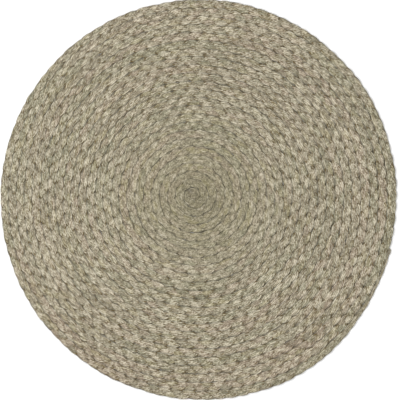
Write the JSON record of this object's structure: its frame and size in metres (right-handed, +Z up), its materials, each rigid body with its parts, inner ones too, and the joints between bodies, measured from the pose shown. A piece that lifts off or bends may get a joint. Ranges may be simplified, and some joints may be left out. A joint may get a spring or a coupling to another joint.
{
  "type": "braided jute rug",
  "caption": "Round area rug: one flat braid of jute coiled from the middle to the rim, its turns laced edge to edge, with a bound tail.",
  "frame": {"origin": "on the floor, under the middle of the rug's outline", "axes": "+Z up, out of the face that is walked on. +X and +Y lie in the rug's plane, and the braid's tail ends a little clockwise of +X"},
  "size_m": [1.1838, 1.1948, 0.011],
  "materials": {
    "jute": "natural undyed jute fibre, dry and matt, grey-beige with greenish and pinkish lots",
    "thread": "spun jute thread, matt"
  },
  "bodies": {
    "root": {"strand_1": "jute", "strand_2": "jute", "strand_3": "jute", "lacing_thread": "thread", "start_whipping": "thread", "end_whipping": "thread"}
  },
  "joints": []
}
